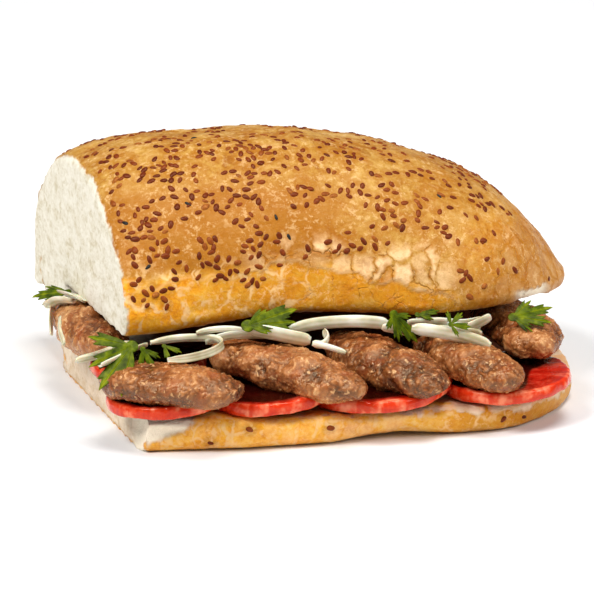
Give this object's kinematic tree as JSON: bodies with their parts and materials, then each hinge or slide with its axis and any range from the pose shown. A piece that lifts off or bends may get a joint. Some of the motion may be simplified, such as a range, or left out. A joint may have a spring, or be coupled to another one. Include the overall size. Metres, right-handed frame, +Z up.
{
  "type": "kofte sandwich",
  "caption": "Half loaf of sesame bread, split and hinged along its back, holding grilled kofte patties, tomato slices, onion strips and parsley that show at the open front and the cut end",
  "frame": {"origin": "middle of the whole sandwich seen from above, on the surface it rests on", "axes": "+X from the cut end to the round end, -Y toward the open front, +Z up"},
  "size_m": [0.1906, 0.1554, 0.0923],
  "materials": {
    "bread": "baked crust, golden brown, matt",
    "meat": "grilled mince, brown, slightly moist",
    "tomato": "wet, red",
    "onion": "moist, translucent white",
    "parsley": "fresh green leaf"
  },
  "bodies": {
    "root": {"bread": "bread", "kofte_1": "meat", "kofte_2": "meat", "kofte_3": "meat", "kofte_4": "meat", "kofte_5": "meat", "kofte_6": "meat", "tomato_1": "tomato", "tomato_2": "tomato", "tomato_3": "tomato", "tomato_4": "tomato", "tomato_5": "tomato", "onion_1": "onion", "onion_2": "onion", "onion_3": "onion", "onion_4": "onion", "onion_5": "onion", "onion_6": "onion", "onion_7": "onion", "onion_8": "onion", "onion_9": "onion", "onion_10": "onion", "onion_11": "onion", "onion_12": "onion", "onion_13": "onion", "onion_14": "onion", "parsley_1": "parsley", "parsley_2": "parsley", "parsley_3": "parsley", "parsley_4": "parsley", "parsley_5": "parsley", "parsley_6": "parsley", "parsley_7": "parsley", "parsley_8": "parsley", "parsley_9": "parsley"}
  },
  "joints": []
}
